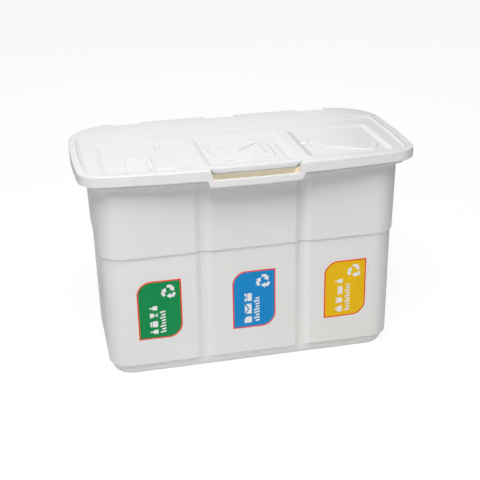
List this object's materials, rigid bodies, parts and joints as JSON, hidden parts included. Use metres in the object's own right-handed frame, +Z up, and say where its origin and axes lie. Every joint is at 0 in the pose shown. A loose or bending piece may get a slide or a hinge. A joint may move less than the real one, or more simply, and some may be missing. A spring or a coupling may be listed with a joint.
{
  "type": "recycling bin station",
  "caption": "Free-standing recycling bin station: oblong tub with sunk flutes and a rolled rim, a hinged lid, removable inner sorting bins and blank coloured labels.",
  "frame": {"origin": "on the floor, under the middle of the station's overall box", "axes": "+X to the right seen from the front, +Y to the back where the hinges are, +Z up"},
  "size_m": [0.6498, 0.3527, 0.424],
  "materials": {
    "tub_shell": "satin moulded polypropylene, off-white",
    "lid_shell": "satin moulded polypropylene, white",
    "hinge_pin": "plain moulded plastic, white",
    "sorting_bin": "fine-grained moulded polypropylene, sand colour",
    "label_glass": "printed vinyl, green",
    "label_paper": "printed vinyl, blue",
    "label_plastic": "printed vinyl, yellow"
  },
  "bodies": {
    "tub": {"tub": "tub_shell", "label_glass": "label_glass", "label_paper": "label_paper", "label_plastic": "label_plastic"},
    "lid": {"lid": "lid_shell", "hinge_pin_left": "hinge_pin", "hinge_pin_middle": "hinge_pin", "hinge_pin_right": "hinge_pin"},
    "bin_glass": {"bin_glass": "sorting_bin"},
    "bin_paper": {"bin_paper": "sorting_bin"},
    "bin_plastic": {"bin_plastic": "sorting_bin"}
  },
  "joints": [
    {"name": "lid_hinge", "type": "hinge", "parent": "tub", "child": "lid", "pos_m": [0, 0.171, 0.4155], "axis": [-1, 0, 0], "range_deg": [0, 105]},
    {"name": "glass_bin_lift", "type": "slide", "parent": "tub", "child": "bin_glass", "axis": [0, 0, 1], "range_m": [0, 0.008]},
    {"name": "paper_bin_lift", "type": "slide", "parent": "tub", "child": "bin_paper", "axis": [0, 0, 1], "range_m": [0, 0.008]},
    {"name": "plastic_bin_lift", "type": "slide", "parent": "tub", "child": "bin_plastic", "axis": [0, 0, 1], "range_m": [0, 0.008]}
  ]
}
